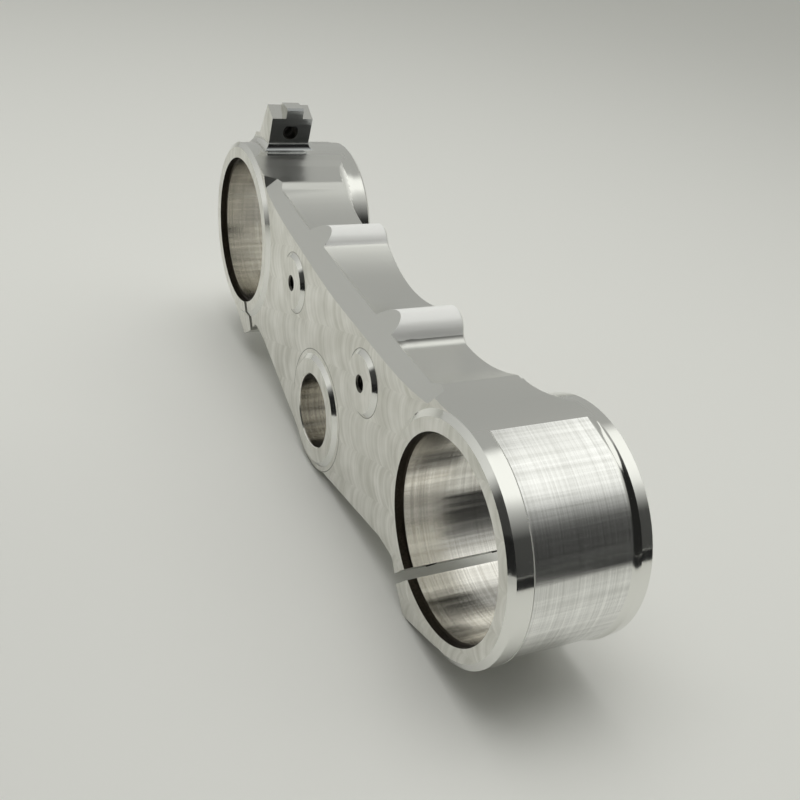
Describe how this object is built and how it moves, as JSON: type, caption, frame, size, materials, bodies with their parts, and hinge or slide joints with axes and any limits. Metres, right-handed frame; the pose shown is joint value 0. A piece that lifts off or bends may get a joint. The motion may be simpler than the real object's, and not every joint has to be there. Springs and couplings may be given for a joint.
{
  "type": "motorcycle triple clamp",
  "caption": "One-piece machined fork clamp with two split fork rings, a central stem bore, threaded pads and a drilled tab.",
  "frame": {"origin": "on the axis of the stem bore, halfway along the fork rings", "axes": "+X from fork to fork, away from the ring with the tab; +Y along the bores, from the face with the raised pads to the plain one; +Z towards the ribbed front edge, upwards as it stands on edge"},
  "size_m": [0.2666, 0.0444, 0.1018],
  "materials": {
    "clamp_body": "machined, satin"
  },
  "bodies": {
    "root": {"clamp_body": "clamp_body"}
  },
  "joints": []
}
